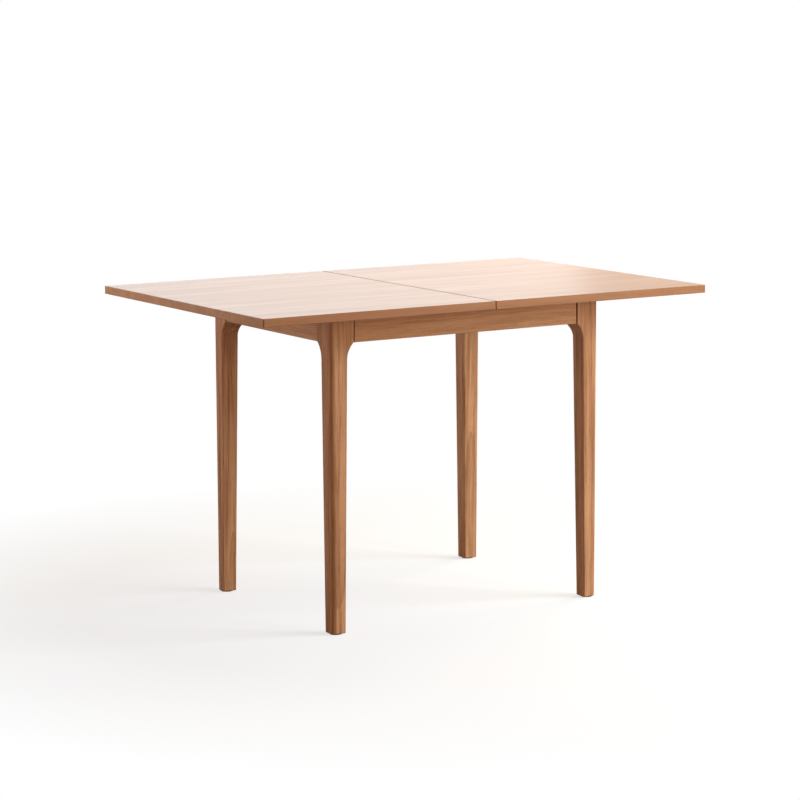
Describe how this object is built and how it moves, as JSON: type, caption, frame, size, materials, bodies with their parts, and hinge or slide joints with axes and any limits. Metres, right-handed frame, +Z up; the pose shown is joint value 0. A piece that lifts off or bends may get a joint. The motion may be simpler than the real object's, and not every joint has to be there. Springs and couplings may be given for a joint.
{
  "type": "folding dining table",
  "caption": "Wooden dining table whose split top turns on its frame and folds in half, on tapered legs with a rounded outer corner.",
  "frame": {"origin": "on the floor under the middle of the open top", "axes": "+X along the open top towards the half that carries the swivel, +Y to the back, +Z up"},
  "size_m": [1.2, 0.78, 0.75],
  "materials": {
    "top_wood": "clear semi-gloss lacquer",
    "frame_wood": "clear satin lacquer",
    "inner_wood": "planed, thin lacquer",
    "felt": "pressed felt",
    "steel": "zinc plated",
    "hinge_metal": "satin",
    "nylon": "moulded"
  },
  "bodies": {
    "frame": {"apron_back": "frame_wood", "apron_front": "frame_wood", "apron_left": "frame_wood", "apron_right": "frame_wood", "block_screws": "steel", "bracket_screws": "steel", "corner_block_back_left": "inner_wood", "corner_block_back_right": "inner_wood", "corner_block_front_left": "inner_wood", "corner_block_front_right": "inner_wood", "cross_rail": "inner_wood", "felt_back": "felt", "felt_front": "felt", "felt_left": "felt", "felt_right": "felt", "foot_pad_back_left": "felt", "foot_pad_back_right": "felt", "foot_pad_front_left": "felt", "foot_pad_front_right": "felt", "hanger_bolts": "steel", "leg_back_left": "frame_wood", "leg_back_right": "frame_wood", "leg_front_left": "frame_wood", "leg_front_right": "frame_wood", "leg_nuts": "steel", "leg_washers": "steel", "rail_bracket_back": "steel", "rail_bracket_front": "steel", "swivel_bush": "nylon"},
    "pivot_top": {"pivot_leaf": "top_wood", "swivel_plate": "steel", "plate_screws": "steel", "swivel_bolt": "steel", "swivel_washer": "steel", "cone_spring": "steel", "swivel_nut": "steel", "stop_peg": "steel", "hinge_cups_pivot": "hinge_metal", "hinge_pins_pivot": "hinge_metal", "hinge_screws_pivot": "steel"},
    "flip_top": {"flip_leaf": "top_wood", "hinge_cups_flip": "hinge_metal", "hinge_pins_flip": "hinge_metal", "hinge_screws_flip": "steel"},
    "pivot_links": {"hinge_links_pivot": "hinge_metal"},
    "flip_links": {"hinge_links_flip": "hinge_metal"}
  },
  "joints": [
    {"name": "top_swivel", "type": "hinge", "parent": "frame", "child": "pivot_top", "pos_m": [0.15, -0.15, 0.731], "axis": [0, 0, 1], "range_deg": [0, 90]},
    {"name": "leaf_fold", "type": "hinge", "parent": "pivot_top", "child": "flip_top", "pos_m": [0, 0, 0.75025], "axis": [0, 1, 0], "range_deg": [0, 180]},
    {"name": "pivot_link_turn", "type": "hinge", "parent": "pivot_top", "child": "pivot_links", "pos_m": [0.0057, 0, 0.74455], "axis": [0, 1, 0], "range_deg": [0, 90]},
    {"name": "flip_link_turn", "type": "hinge", "parent": "flip_top", "child": "flip_links", "pos_m": [-0.0057, 0, 0.74455], "axis": [0, 1, 0], "range_deg": [-90, 0]}
  ],
  "couplings": [
    {"joint": "pivot_link_turn", "follows": "leaf_fold", "ratio": 0.5},
    {"joint": "flip_link_turn", "follows": "leaf_fold", "ratio": -0.5}
  ]
}
